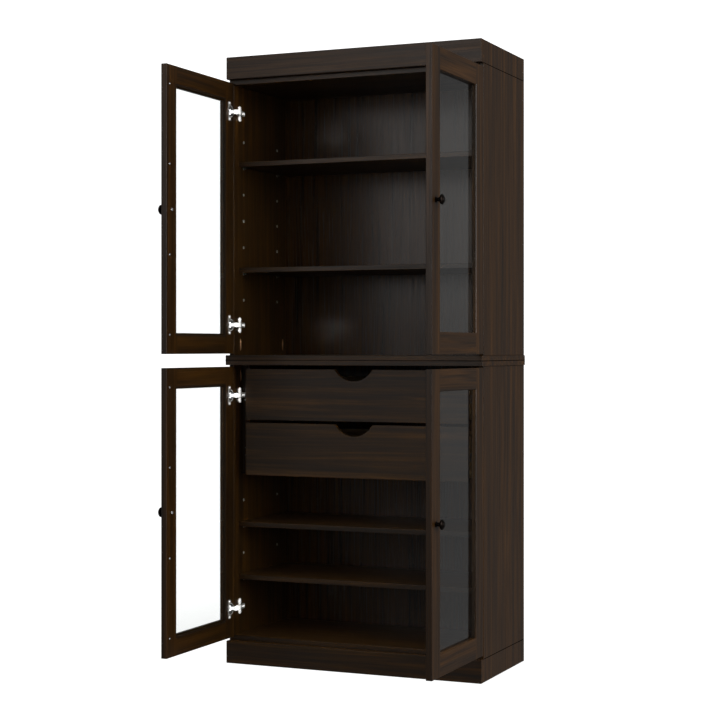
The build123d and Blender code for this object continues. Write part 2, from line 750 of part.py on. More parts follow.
def bead_strips(x, z):
    """Four strips that hold the glass in its rabbet, with a narrow groove round their outer arris."""
    top_y = door_inner_y - bead_setback
    y = (top_y - bead_thickness, top_y)
    outer_x = (x[0] - glass_rabbet_width, x[1] + glass_rabbet_width)
    outer_z = (z[0] - glass_rabbet_width, z[1] + glass_rabbet_width)
    inner_z = (outer_z[0] + bead_width, outer_z[1] - bead_width)
    whole = board(
        (outer_x[0] + bead_groove_width, outer_x[1] - bead_groove_width),
        y,
        (outer_z[0] + bead_groove_width, outer_z[1] - bead_groove_width),
    )
    whole = whole + board(outer_x, (y[0], top_y - bead_groove_depth), outer_z)
    return [
        whole & board(outer_x, y, (outer_z[0], inner_z[0])),
        whole & board(outer_x, y, (inner_z[1], outer_z[1])),
        whole & board((outer_x[0], outer_x[0] + bead_width), y, inner_z),
        whole & board((outer_x[1] - bead_width, outer_x[1]), y, inner_z),
    ]


def door_parts(height):
    """Every piece of a left door, closed."""
    half_height = height / 2
    y = (front_y, door_inner_y)
    z = (-half_height, half_height)
    whole = eased_board((hinge_edge_x, free_edge_x), y, z)
    cutter, opening_x, opening_z = door_opening(half_height)
    hinge_z = hinge_heights(height)
    cups = [piece for level in hinge_z for piece in raised([hinge_cup(), hinge_pin()], level)]
    cup_bore = rod((cup_x, y[1] - cup_depth, 0), (cup_x, y[1], 0), cup_radius)
    bores = [bore for level in hinge_z for bore in raised([cup_bore], level)]
    screws = [knob_screw()] + stile_screws(half_height)
    for level in hinge_z:
        screws += raised(cup_screws(), level)

    rails = []
    tenons = []
    tenon_y = (y[0] + tenon_depth, y[0] + tenon_depth + tenon_thickness)
    for low_z in (z[0], z[1] - frame_width):
        rail = whole & board(opening_x, y, (low_z, low_z + frame_width))
        middle_z = low_z + frame_width / 2
        tenon_z = (middle_z - tenon_width / 2, middle_z + tenon_width / 2)
        tenon_x = (opening_x[0] - tenon_length, opening_x[1] + tenon_length)
        tenon = board(tenon_x, tenon_y, tenon_z)
        tenons.append(tenon)
        rails.append((rail - cutter) + tenon)
    knob_x = free_edge_x - knob_from_edge
    clearance_hole = rod(
        (knob_x, y[0], 0), (knob_x, y[1], 0), knob_screw_radius + knob_bore_clearance
    )
    stiles = []
    for x in ((hinge_edge_x, opening_x[0]), (opening_x[1], free_edge_x)):
        stile = (whole & board(x, y, z)) - cutter
        stiles.append(without(stile, tenons + bores + screws + [clearance_hole]))

    glass_reach = glass_rabbet_width - glass_play
    glass = board(
        (opening_x[0] - glass_reach, opening_x[1] + glass_reach),
        (front_y + glass_lip, front_y + glass_lip + glass_thickness),
        (opening_z[0] - glass_reach, opening_z[1] + glass_reach),
    )
    return {
        "stiles": stiles,
        "rails": rails,
        "glass": [glass],
        "bead": bead_strips(opening_x, opening_z),
        "knob": [knob() - knob_screw()],
        "hinge_cups": [without(piece, screws) for piece in cups],
        "screws": screws,
    }


# A left door swings open about its pivots, square to the front.
swing_open = Pos(pivot_x, pivot_y, 0) * Rot(Z=-90) * Pos(-pivot_x, -pivot_y, 0)
tiers = {
    "lower": (lower_door_height, lower_door_z),
    "upper": (upper_door_height, upper_door_z),
}
for tier, (height, middle_z) in tiers.items():
    for piece_name, pieces in door_parts(height).items():
        left = [Pos(0, 0, middle_z) * swing_open * piece for piece in pieces]
        write(f"{tier}_left_door_{piece_name}", left)
        write(f"{tier}_right_door_{piece_name}", mirrored(left))
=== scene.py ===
# %% [markdown]
# # A china cabinet with glass doors
# The cabinet is two cases of dark stained wood, one on the other, with four glazed doors on
# concealed hinges, four loose shelves and two inner drawers. Its boards, panes, knobs, pins and drawer
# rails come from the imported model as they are. This lesson gives each of them its finish, makes the
# hinges and screws anew with more detail, and sets up the room, the lights and the camera.
# Lengths are in metres and Z is up. The origin is on the floor under the middle of the cabinet.

# %% Load the frame
import json
import math

import bpy
import bmesh
from mathutils import Matrix, Vector

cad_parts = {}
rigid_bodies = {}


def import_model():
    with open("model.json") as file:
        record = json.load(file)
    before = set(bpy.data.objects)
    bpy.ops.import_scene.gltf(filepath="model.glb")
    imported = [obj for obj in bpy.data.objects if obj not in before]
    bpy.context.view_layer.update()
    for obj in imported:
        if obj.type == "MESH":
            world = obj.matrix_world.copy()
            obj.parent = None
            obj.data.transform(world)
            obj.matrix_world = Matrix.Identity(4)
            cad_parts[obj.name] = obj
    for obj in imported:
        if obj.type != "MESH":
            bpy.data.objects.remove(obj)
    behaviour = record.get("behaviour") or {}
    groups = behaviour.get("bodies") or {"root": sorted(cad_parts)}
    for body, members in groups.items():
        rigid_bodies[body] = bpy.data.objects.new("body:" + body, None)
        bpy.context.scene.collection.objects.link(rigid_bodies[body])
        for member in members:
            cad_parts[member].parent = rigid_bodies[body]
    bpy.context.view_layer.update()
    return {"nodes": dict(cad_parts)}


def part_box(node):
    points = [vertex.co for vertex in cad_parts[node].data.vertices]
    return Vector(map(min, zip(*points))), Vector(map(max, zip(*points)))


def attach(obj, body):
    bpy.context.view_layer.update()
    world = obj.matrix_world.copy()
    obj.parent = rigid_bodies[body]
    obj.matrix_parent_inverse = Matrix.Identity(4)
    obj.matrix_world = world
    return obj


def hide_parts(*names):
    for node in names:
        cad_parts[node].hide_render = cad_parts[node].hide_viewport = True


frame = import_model()
nodes = frame["nodes"]
MM = 0.001
TIERS = ("upper", "lower")
SIDES = ("left", "right")
DOORS = [f"{tier}_{side}_door" for tier in TIERS for side in SIDES]
DRAWERS = ("top_drawer", "bottom_drawer")

# %% [markdown]
# ## Two helpers for materials
# A finish is described by its colour as a designer writes it, an sRGB hex value, but a shader works
# with linear light, so one function turns the first into the second. The other adds a node to a
# material with its settings and its links in one go, which keeps each finish short to read.

# %% Colour and node helpers
SRGB_KNEE = 0.04045


def linear(hex_colour):
    """An sRGB hex colour as the linear red, green, blue and alpha that a shader takes."""
    channels = [int(hex_colour[i : i + 2], 16) / 255 for i in (1, 3, 5)]
    turned = [c / 12.92 if c <= SRGB_KNEE else ((c + 0.055) / 1.055) ** 2.4 for c in channels]
    return (*turned, 1.0)


def add_node(tree, kind, inputs=None, **settings):
    """Adds a node. An input is a plain value or the output of another node."""
    node = tree.nodes.new(kind)
    for name, value in settings.items():
        setattr(node, name, value)
    for name, value in (inputs or {}).items():
        if isinstance(value, bpy.types.NodeSocket):
            tree.links.new(value, node.inputs[name])
        else:
            node.inputs[name].default_value = value
    return node


def new_material(name):
    """An empty material, its node tree and the output that a shader goes to."""
    material = bpy.data.materials.new(name)
    material.use_nodes = True
    tree = material.node_tree
    tree.nodes.clear()
    output = add_node(tree, "ShaderNodeOutputMaterial")
    return material, tree, output.inputs["Surface"]


def wear(node_names, material):
    """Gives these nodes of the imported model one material, in place of the plain one they had."""
    for name in node_names:
        slots = nodes[name].material_slots
        for slot in slots:
            slot.material = material
    print(material.name, "on", len(node_names), "nodes")


# %% [markdown]
# ## Espresso-stained wood
# The boards are wood under a dark brown stain and a satin lacquer. Three things tell the eye so:
# broad bands where the stain sank in more or less, fine fibres that run with the board, and short
# dark pores. Each is a noise that is squeezed across the grain and drawn out along it. A picture of
# wood could be wrapped round each board instead, but noise in the object's own coordinates has no
# seams, is different on every board and runs right through the arrises, as real grain does.
# A band is about 17 mm wide, a fibre 3.2 mm and a pore 1.1 mm, which is coarser than a real pore of
# 0.2 mm, because a real one would be too fine to show.

# %% Espresso-stained wood
BAND_WIDTH = 17 * MM
FIBRE_WIDTH = 3.2 * MM
PORE_WIDTH = 1.1 * MM
STAIN_DARK = "#1E1104"
STAIN_MIDDLE = "#362005"
STAIN_LIGHT = "#52330D"
AXES = "XYZ"


def stretched(tree, place, grain, length_ratio):
    """Coordinates that are drawn out along the grain, so that a noise of them makes streaks."""
    scale = [1.0, 1.0, 1.0]
    scale[AXES.index(grain)] = 1 / length_ratio
    return add_node(tree, "ShaderNodeMapping", {"Vector": place, "Scale": scale}).outputs[0]


def stained_wood(name, grain, middle=STAIN_MIDDLE, roughness=(0.34, 0.46)):
    """Espresso-stained wood whose grain runs along one axis."""
    material, tree, surface = new_material(name)
    place = add_node(tree, "ShaderNodeTexCoord").outputs["Object"]
    drift = add_node(
        tree, "ShaderNodeTexNoise", {"Vector": stretched(tree, place, grain, 6), "Scale": 5.0}
    )
    warped = add_node(
        tree,
        "ShaderNodeVectorMath",
        {0: drift.outputs["Color"], 1: (0.04, 0.04, 0.04)},
        operation="MULTIPLY",
    )
    moved = add_node(
        tree, "ShaderNodeVectorMath", {0: place, 1: warped.outputs[0]}, operation="ADD"
    )
    place = moved.outputs[0]

    bands = add_node(
        tree,
        "ShaderNodeTexNoise",
        {
            "Vector": stretched(tree, place, grain, 40),
            "Scale": 1 / BAND_WIDTH,
            "Detail": 3.0,
            "Roughness": 0.6,
        },
    )
    fibres = add_node(
        tree,
        "ShaderNodeTexNoise",
        {
            "Vector": stretched(tree, place, grain, 90),
            "Scale": 1 / FIBRE_WIDTH,
            "Detail": 2.0,
            "Roughness": 0.5,
        },
    )
    pores = add_node(
        tree,
        "ShaderNodeTexNoise",
        {"Vector": stretched(tree, place, grain, 22), "Scale": 1 / PORE_WIDTH, "Detail": 1.0},
    )
    stain = add_node(tree, "ShaderNodeValToRGB", {"Fac": bands.outputs["Fac"]})
    ramp = stain.color_ramp
    ramp.elements[0].position = 0.3
    ramp.elements[0].color = linear(STAIN_DARK)
    ramp.elements[1].position = 0.72
    ramp.elements[1].color = linear(STAIN_LIGHT)
    ramp.elements.new(0.5).color = linear(middle)
    fibre_tone = add_node(
        tree,
        "ShaderNodeMapRange",
        {
            "Value": fibres.outputs["Fac"],
            "From Min": 0.3,
            "From Max": 0.7,
            "To Min": 0.62,
            "To Max": 1.34,
        },
    )
    pore_tone = add_node(
        tree,
        "ShaderNodeMapRange",
        {
            "Value": pores.outputs["Fac"],
            "From Min": 0.3,
            "From Max": 0.42,
            "To Min": 0.7,
            "To Max": 1.0,
        },
    )
    tone = add_node(
        tree,
        "ShaderNodeMath",
        {0: fibre_tone.outputs[0], 1: pore_tone.outputs[0]},
        operation="MULTIPLY",
    )
    colour = add_node(
        tree,
        "ShaderNodeVectorMath",
        {0: stain.outputs["Color"], "Scale": tone.outputs[0]},
        operation="SCALE",
    )
    gloss = add_node(
        tree,
        "ShaderNodeMapRange",
        {
            "Value": fibres.outputs["Fac"],
            "From Min": 0.3,
            "From Max": 0.7,
            "To Min": roughness[1],
            "To Max": roughness[0],
        },
    )
    relief = add_node(
        tree,
        "ShaderNodeBump",
        {"Height": tone.outputs[0], "Strength": 0.35, "Distance": 0.12 * MM},
    )
    shader = add_node(
        tree,
        "ShaderNodeBsdfPrincipled",
        {
            "Base Color": colour.outputs[0],
            "Roughness": gloss.outputs[0],
            "Normal": relief.outputs[0],
            "IOR": 1.5,
            "Specular IOR Level": 0.42,
            "Coat Weight": 0.06,
            "Coat Roughness": 0.25,
        },
    )
    tree.links.new(shader.outputs[0], surface)
    return material


grain_up = stained_wood("espresso_wood_grain_up", "Z")
grain_across = stained_wood("espresso_wood_grain_across", "X")
grain_in_depth = stained_wood("espresso_wood_grain_in_depth", "Y")
back_board = stained_wood("espresso_back_board", "Z", "#4A2C08", roughness=(0.2, 0.3))

upright_boards = [f"{tier}_side_{side}" for tier in TIERS for side in SIDES]
upright_boards += [f"{door}_stiles" for door in DOORS]
upright_boards += ["plinth_ends", "cornice_ends", "drawer_spacers"]
wear(upright_boards, grain_up)
level_boards = ["bottom_panel", "top_panel", "lower_waist_panel", "upper_waist_panel"]
level_boards += ["plinth_rails", "cornice_rails", "shelves"]
level_boards += [f"{drawer}_front" for drawer in DRAWERS]
wear(level_boards, grain_across)
wear([f"{door}_rails" for door in DOORS], grain_in_depth)
wear([f"{tier}_back_panel" for tier in TIERS], back_board)

# %% [markdown]
# ## Birch drawer boxes
# Behind their dark fronts the drawers are pale lacquered birch, with a thin plywood bottom. Birch is
# close-grained and almost even in colour, so its noises are fine and differ only a little.

# %% Birch
FIGURE_WIDTH = 9 * MM


def birch(name, grain, light, dark):
    """Clear-lacquered birch whose grain runs along one axis."""
    material, tree, surface = new_material(name)
    place = add_node(tree, "ShaderNodeTexCoord").outputs["Object"]
    figure = add_node(
        tree,
        "ShaderNodeTexNoise",
        {"Vector": stretched(tree, place, grain, 18), "Scale": 1 / FIGURE_WIDTH, "Detail": 4.0},
    )
    colour = add_node(tree, "ShaderNodeValToRGB", {"Fac": figure.outputs["Fac"]})
    colour.color_ramp.elements[0].position = 0.32
    colour.color_ramp.elements[0].color = linear(dark)
    colour.color_ramp.elements[1].position = 0.66
    colour.color_ramp.elements[1].color = linear(light)
    gloss = add_node(
        tree, "ShaderNodeMapRange", {"Value": figure.outputs["Fac"], "To Min": 0.5, "To Max": 0.36}
    )
    relief = add_node(
        tree,
        "ShaderNodeBump",
        {"Height": figure.outputs["Fac"], "Strength": 0.2, "Distance": 0.1 * MM},
    )
    shader = add_node(
        tree,
        "ShaderNodeBsdfPrincipled",
        {
            "Base Color": colour.outputs["Color"],
            "Roughness": gloss.outputs[0],
            "Normal": relief.outputs[0],
            "IOR": 1.5,
            "Coat Weight": 0.15,
            "Coat Roughness": 0.25,
        },
    )
    tree.links.new(shader.outputs[0], surface)
    return material


birch_side = birch("lacquered_birch_side", "Y", "#D9BC8E", "#BF9C6B")
birch_back = birch("lacquered_birch_back", "X", "#D9BC8E", "#BF9C6B")
birch_plywood = birch("birch_plywood", "X", "#DDC59B", "#C7A87B")
wear([f"{drawer}_sides" for drawer in DRAWERS], birch_side)
wear([f"{drawer}_back" for drawer in DRAWERS], birch_back)
wear([f"{drawer}_bottom" for drawer in DRAWERS], birch_plywood)

# %% [markdown]
# ## Clear float glass
# Each pane is 3 mm of float glass: no colour from the front, a faint green in its thickness, smooth
# as a mirror. It is a solid with two faces, so a glass shader bends light in and out of it as the
# real pane does. A lamp's ray can't find its way through such a solid, and the pane would throw a
# black shadow, so rays that ask for shadow pass it as if it were clear film.

# %% Float glass
WAVE_LENGTH = 150 * MM


def float_glass(name, tint, film):
    """Clear glass with a tint, which is a plain film to the rays that ask for shadow."""
    material, tree, surface = new_material(name)
    place = add_node(tree, "ShaderNodeTexCoord").outputs["Object"]
    drawn = add_node(
        tree, "ShaderNodeTexNoise", {"Vector": place, "Scale": 1 / WAVE_LENGTH, "Detail": 1.0}
    )
    waviness = add_node(
        tree,
        "ShaderNodeBump",
        {"Height": drawn.outputs["Fac"], "Strength": 0.02, "Distance": 0.5 * MM},
    )
    pane = add_node(
        tree,
        "ShaderNodeBsdfPrincipled",
        {
            "Base Color": linear(tint),
            "Roughness": 0.0,
            "Normal": waviness.outputs[0],
            "IOR": 1.52,
            "Transmission Weight": 1.0,
        },
    )
    clear = add_node(tree, "ShaderNodeBsdfTransparent", {"Color": linear(film)})
    rays = add_node(tree, "ShaderNodeLightPath")
    mixed = add_node(
        tree,
        "ShaderNodeMixShader",
        {"Fac": rays.outputs["Is Shadow Ray"], 1: pane.outputs[0], 2: clear.outputs[0]},
    )
    tree.links.new(mixed.outputs[0], surface)
    return material


glass = float_glass("clear_float_glass", "#FBFDFC", "#E8F0EC")
wear([f"{door}_glass" for door in DOORS], glass)

# %% [markdown]
# ## Brown vinyl bead
# The panes are held by an extruded strip of vinyl in the brown of the wood. It is a little more matt
# than the lacquer, and faintly mottled.

# %% Vinyl
MOTTLE_SIZE = 3 * MM


def extruded_vinyl(name, colour, roughness=(0.5, 0.7), specular=0.5):
    """A plastic, or a strip of painted shade, with small differences between two colours."""
    material, tree, surface = new_material(name)
    place = add_node(tree, "ShaderNodeTexCoord").outputs["Object"]
    grime = add_node(
        tree, "ShaderNodeTexNoise", {"Vector": place, "Scale": 1 / MOTTLE_SIZE, "Detail": 3.0}
    )
    shade = add_node(tree, "ShaderNodeValToRGB", {"Fac": grime.outputs["Fac"]})
    shade.color_ramp.elements[0].position = 0.3
    shade.color_ramp.elements[0].color = linear(colour[0])
    shade.color_ramp.elements[1].position = 0.7
    shade.color_ramp.elements[1].color = linear(colour[1])
    gloss = add_node(
        tree,
        "ShaderNodeMapRange",
        {"Value": grime.outputs["Fac"], "To Min": roughness[0], "To Max": roughness[1]},
    )
    shader = add_node(
        tree,
        "ShaderNodeBsdfPrincipled",
        {
            "Base Color": shade.outputs["Color"],
            "Roughness": gloss.outputs[0],
            "IOR": 1.5,
            "Specular IOR Level": specular,
        },
    )
    tree.links.new(shader.outputs[0], surface)
    return material


vinyl = extruded_vinyl("brown_vinyl_bead", ("#241403", "#35200A"))
wear([f"{door}_bead" for door in DOORS], vinyl)

# %% [markdown]
# ## Metals
# The cabinet has four kinds of metal surface: the knobs' dark bronze, the nickel of hinges, sleeves
# and pins, the zinc of screws and of drawer rails, and the black oxide of the bolts. A metal is a
# mirror with a colour. What sets one apart from another is how much its surface scatters, so each
# has its own roughness, broken up by the marks of how it was made: a polish, a bath or a rolling mill.
# Plating that has gone slightly cloudy also scatters like a matt white, so the brightest ones are
# only partly metallic.

# %% Metals
def plated_metal(name, bright, dull, roughness, mark_size, stretch=(1, 1, 1), metallic=1.0):
    """A metal with small differences of colour and gloss of one mark size, in metres."""
    material, tree, surface = new_material(name)
    place = add_node(tree, "ShaderNodeTexCoord").outputs["Object"]
    drawn = add_node(tree, "ShaderNodeMapping", {"Vector": place, "Scale": stretch})
    marks = add_node(
        tree,
        "ShaderNodeTexNoise",
        {"Vector": drawn.outputs[0], "Scale": 1 / mark_size, "Detail": 4.0, "Roughness": 0.6},
    )
    shade = add_node(tree, "ShaderNodeValToRGB", {"Fac": marks.outputs["Fac"]})
    shade.color_ramp.elements[0].position = 0.3
    shade.color_ramp.elements[0].color = linear(dull)
    shade.color_ramp.elements[1].position = 0.65
    shade.color_ramp.elements[1].color = linear(bright)
    gloss = add_node(
        tree,
        "ShaderNodeMapRange",
        {
            "Value": marks.outputs["Fac"],
            "From Min": 0.3,
            "From Max": 0.7,
            "To Min": roughness[1],
            "To Max": roughness[0],
        },
    )
    dents = add_node(
        tree,
        "ShaderNodeBump",
        {"Height": marks.outputs["Fac"], "Strength": 0.1, "Distance": 0.05 * MM},
    )
    shader = add_node(
        tree,
        "ShaderNodeBsdfPrincipled",
        {
            "Base Color": shade.outputs["Color"],
            "Metallic": metallic,
            "Roughness": gloss.outputs[0],
            "Normal": dents.outputs[0],
        },
    )
    tree.links.new(shader.outputs[0], surface)
    return material


bronze = plated_metal("dark_bronze_die_cast", "#2B2420", "#171210", (0.28, 0.4), 4 * MM)
nickel = plated_metal(
    "bright_nickel_plate", "#F6F5F2", "#E6E4E0", (0.2, 0.34), 2.5 * MM, metallic=0.5
)
# A rougher, darker copy of the nickel. Its darker grey is painted shade on the cup flanges and on the
# shelf pins under the shelves; the arms' clips wear it as well.
nickel_with_painted_shade = plated_metal(
    "rough_nickel_painted_shade", "#A9A7A2", "#83817C", (0.35, 0.5), 2.5 * MM, metallic=0.85
)
# A dark nickel for the faces inside the hinge cups: its darkness is painted shade for the hollow.
painted_cup_shade_nickel = plated_metal(
    "nickel_painted_shade_inside_cup", "#5C5B58", "#3E3D3B", (0.4, 0.6), 2.5 * MM
)
sleeve_nickel = plated_metal(
    "nickel_sleeve", "#F4F2EE", "#D6D3CD", (0.2, 0.34), 2.5 * MM, metallic=0.5
)
black_oxide = plated_metal("black_oxide_steel", "#1C1A19", "#100F0E", (0.3, 0.45), 2 * MM)
dull_zinc = plated_metal(
    "dull_zinc_plate", "#9A9B9D", "#77787B", (0.35, 0.5), 1.5 * MM, metallic=0.8
)
zinc = plated_metal(
    "bright_zinc_plate", "#E6E6E4", "#BDBEC0", (0.22, 0.36), 1.5 * MM, metallic=0.6
)
rolled_zinc = plated_metal(
    "zinc_plated_rolled_sheet", "#C2C4C6", "#9A9DA0", (0.25, 0.42), 2 * MM, stretch=(1, 0.04, 1)
)
wear([f"{door}_knob" for door in DOORS], bronze)
wear(["hinge_arms", "hinge_plates"] + [f"{door}_hinge_cups" for door in DOORS], nickel)
wear(["pin_sleeves"], sleeve_nickel)
# the shelf pins wear the darker nickel: painted shade for their place under the shelves
wear(["shelf_pins"], nickel_with_painted_shade)
wear(["carcass_screws"] + [f"{door}_screws" for door in DOORS], zinc)
wear(["slide_rails"] + [f"{drawer}_rails" for drawer in DRAWERS], rolled_zinc)

# %% [markdown]
# ## Helpers for modelling
# The small fittings are modelled as by hand: a primitive is added, then faces or edges are selected
# and worked on. These helpers select by a test instead of by a click, finish a piece, and find
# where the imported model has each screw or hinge, so that no place has to be typed in again.

# %% Helpers that start and select
NEAR = 0.02 * MM
SMOOTH_BELOW = math.radians(35)


def start(add, **settings):
    """Adds a primitive with nothing else selected, and gives its object."""
    bpy.ops.object.select_all(action="DESELECT")
    add(**settings)
    return bpy.context.object


def block(low, high):
    """A cube drawn out between two corners."""
    piece = start(bpy.ops.mesh.primitive_cube_add, size=1)
    size = [b - a for a, b in zip(low, high)]
    middle = [(a + b) / 2 for a, b in zip(low, high)]
    piece.data.transform(Matrix.Translation(middle) @ Matrix.Diagonal((*size, 1)))
    return piece


def select(piece, mode, test):
    """In edit mode, selects the faces or edges that pass the test and nothing else."""
    if bpy.context.mode == "OBJECT":
        bpy.ops.object.select_all(action="DESELECT")
        piece.select_set(True)
        bpy.context.view_layer.objects.active = piece
        bpy.ops.object.mode_set(mode="EDIT")
    bpy.ops.mesh.select_mode(type=mode)
    bpy.ops.mesh.select_all(action="DESELECT")
    mesh = bmesh.from_edit_mesh(piece.data)
    for part in mesh.faces if mode == "FACE" else mesh.edges:
        part.select_set(test(part))
    bmesh.update_edit_mesh(piece.data)


def leave():
    """Back to object mode."""
    bpy.ops.object.mode_set(mode="OBJECT")


def facing(axis, sign):
    """A test for faces that look along one axis."""
    return lambda face: face.normal[axis] * sign > 0.9


def along(axis, test=lambda edge: True):
    """A test for edges that run along one axis."""

    def found(edge):
        run = edge.verts[1].co - edge.verts[0].co
        return abs(run[axis]) > 0.9 * run.length and test(edge)

    return found


# %% Helpers that cut, join and copy
def cut(piece, cutter):
    """Takes the cutter's shape out of the piece."""
    modifier = piece.modifiers.new("cut", "BOOLEAN")
    modifier.object = cutter
    modifier.operation = "DIFFERENCE"
    modifier.solver = "EXACT"
    bpy.context.view_layer.objects.active = piece
    bpy.ops.object.modifier_apply(modifier="cut")
    bpy.data.objects.remove(cutter)


def joined(pieces, name):
    """Several objects as one, smooth where its faces meet at a small angle."""
    bpy.ops.object.select_all(action="DESELECT")
    for piece in pieces:
        piece.select_set(True)
    bpy.context.view_layer.objects.active = pieces[0]
    if len(pieces) > 1:
        bpy.ops.object.join()
    whole = bpy.context.object
    whole.name = name
    whole.data.name = name
    bpy.ops.object.shade_smooth_by_angle(angle=SMOOTH_BELOW)
    return whole


def copied(piece, matrix):
    """A copy with its own mesh, moved by the matrix, with its faces outwards."""
    mesh = piece.data.copy()
    mesh.transform(matrix)
    if matrix.determinant() < 0:
        mesh.flip_normals()
    twin = bpy.data.objects.new("copy", mesh)
    bpy.context.scene.collection.objects.link(twin)
    return twin


def fitted(piece, material, body, slot, *replaced):
    """Gives a finished piece its material, its body and the nodes that it stands for."""
    if not piece.data.materials:
        piece.data.materials.append(material)
    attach(piece, body)
    if replaced:
        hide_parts(*replaced)
    print(piece.name, len(piece.data.polygons), "faces on", body)


# %% Helpers that find where things are
def islands(node):
    """The separate solids of a node, each a list of (corner points, normal, area) of its faces."""
    mesh = bmesh.new()
    mesh.from_mesh(nodes[node].data)
    bmesh.ops.remove_doubles(mesh, verts=mesh.verts, dist=NEAR / 10)
    found, seen = [], set()
    for first in mesh.faces:
        if first in seen:
            continue
        seen.add(first)
        queue, island = [first], []
        while queue:
            face = queue.pop()
            island.append(([v.co.copy() for v in face.verts], face.normal.copy(), face.calc_area()))
            for vert in face.verts:
                for other in vert.link_faces:
                    if other not in seen:
                        seen.add(other)
                        queue.append(other)
        found.append(island)
    mesh.free()
    return found


def box_of(island):
    """The lowest and the highest corner of one solid."""
    points = [point for corners, normal, area in island for point in corners]
    low = Vector([min(point[i] for point in points) for i in range(3)])
    high = Vector([max(point[i] for point in points) for i in range(3)])
    return low, high


# %% [markdown]
# ## Screws, bolts and nails
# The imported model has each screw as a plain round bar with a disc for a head. Here every head gets
# a rounded rim and a recess for the driver: a cross for wood screws, a hexagon for the bolts that
# tie the two cases together. A helical thread could be made too, but it would sit in the wood
# unseen, so the shank is only drawn to a point. Each kind of screw is modelled once and copied to
# every place.

# %% Where the screws are
def screw_places(node):
    """For each screw: the middle of its head, the way the head looks, and its sizes in metres."""
    places = []
    for island in islands(node):
        areas = {}
        for corners, normal, area in island:
            key = tuple(round(n, 2) for n in normal)
            areas.setdefault(key, [0.0, normal])[0] += area
        way = max(areas.values(), key=lambda entry: entry[0])[1]
        points = [point for corners, normal, area in island for point in corners]
        ends = []
        for sense in (1, -1):
            reach = max(sense * point.dot(way) for point in points)
            rim = [point for point in points if sense * point.dot(way) > reach - NEAR]
            low = Vector([min(point[i] for point in rim) for i in range(3)])
            high = Vector([max(point[i] for point in rim) for i in range(3)])
            centre = (low + high) / 2
            ends.append((max((point - centre).length for point in rim), centre, way * sense))
        length = (ends[0][1] - ends[1][1]).length
        double = abs(ends[0][0] - ends[1][0]) < NEAR
        for radius, centre, look in sorted(ends, key=lambda end: -end[0])[: 2 if double else 1]:
            rim = [p for p in points if ((p - centre).cross(look)).length > 0.93 * radius]
            thick = max((centre - p).dot(look) for p in rim if (centre - p).dot(look) < length / 2)
            places.append((centre, look.normalized(), radius, thick, length))
    return places


# %% One screw of each kind
HEXAGON_FROM = 6 * MM  # heads larger than this are bolts, driven by a hexagon
PLAIN_BELOW = 2.7 * MM  # heads smaller than this are nails, with no recess
BRIGHT_HEADS = (3.5 * MM, 3.8 * MM)  # the hinges' own screws, which are brighter than the rest


def fastener(radius, thick, length):
    """A screw, bolt or nail whose head looks up, with the top of its head at the origin."""
    head = start(
        bpy.ops.mesh.primitive_cylinder_add,
        vertices=24,
        radius=radius,
        depth=thick,
        location=(0, 0, -thick / 2),
    )
    bpy.ops.object.transform_apply(location=True, rotation=True, scale=True)
    rim = lambda edge: all(v.co.z > -NEAR for v in edge.verts)
    select(head, "EDGE", rim)
    bpy.ops.mesh.bevel(offset=0.55 * thick, segments=3, profile=0.6)
    select(head, "FACE", facing(2, -1))
    bpy.ops.mesh.inset(thickness=0.52 * radius)
    for share in (0.75, 0.25):
        reach = (0, 0, -share * (length - thick))
        bpy.ops.mesh.extrude_region_move(TRANSFORM_OT_translate={"value": reach})
    bpy.ops.transform.resize(value=(0.25, 0.25, 1))
    leave()
    if radius > HEXAGON_FROM:
        socket = start(
            bpy.ops.mesh.primitive_cylinder_add, vertices=6, radius=0.45 * radius, depth=1.4 * thick
        )
        cut(head, socket)
    elif radius > PLAIN_BELOW:
        for turned in (False, True):
            reach = (0.6 * radius, 0.14 * radius)[:: -1 if turned else 1]
            wing = block((-reach[0], -reach[1], -0.7 * thick), (reach[0], reach[1], thick))
            select(wing, "FACE", facing(2, -1))
            bpy.ops.transform.resize(value=(0.6, 0.6, 1))
            leave()
            cut(head, wing)
    return head


# %% Every screw in its place
SLANTED_BELOW = 0.99  # the largest share of its direction that a slanted screw has along one axis


def screw_set(name, node, body):
    """All the screws of one node, remade."""
    kinds, copies = {}, []
    for centre, look, radius, thick, length in screw_places(node):
        kind = tuple(round(size / MM, 1) for size in (radius, thick, length))
        if kind not in kinds:
            kinds[kind] = fastener(radius, thick, length)
            bright = BRIGHT_HEADS[0] < radius < BRIGHT_HEADS[1]
            finish = zinc if bright else black_oxide if radius > HEXAGON_FROM else dull_zinc
            kinds[kind].data.materials.append(finish)
        turn = look.to_track_quat("Z", "Y").to_matrix().to_4x4()
        spin = Matrix.Rotation(0.7 * len(copies), 4, "Z")
        copies.append(copied(kinds[kind], Matrix.Translation(centre) @ turn @ spin))
    for master in kinds.values():
        bpy.data.objects.remove(master)
    print(name, "has", len(copies), "heads of", len(kinds), "kinds:", sorted(kinds))
    fitted(joined(copies, name), zinc, body, "zinc_screws", node)


pocket_screw_places = [
    place for place in screw_places("carcass_screws") if max(map(abs, place[1])) < SLANTED_BELOW
]
screw_set("case_screws", "carcass_screws", "carcass")
for door in DOORS:
    screw_set(f"{door}_screw_set", f"{door}_screws", door)

# %% [markdown]
# ## Raw wood in the pocket holes
# The cases are screwed together through slanting pockets. Each pocket was bored after the boards
# were stained, so its wall is bare, pale wood, and the long oval mouths stand out against the dark
# sides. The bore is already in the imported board. A thin sleeve of bare wood lines it, cut off level
# with the board's face.

# %% Pocket linings
POCKET_RADIUS = 4.72 * MM
LINING_WALL = 0.2 * MM
LINING_LENGTH = 60 * MM


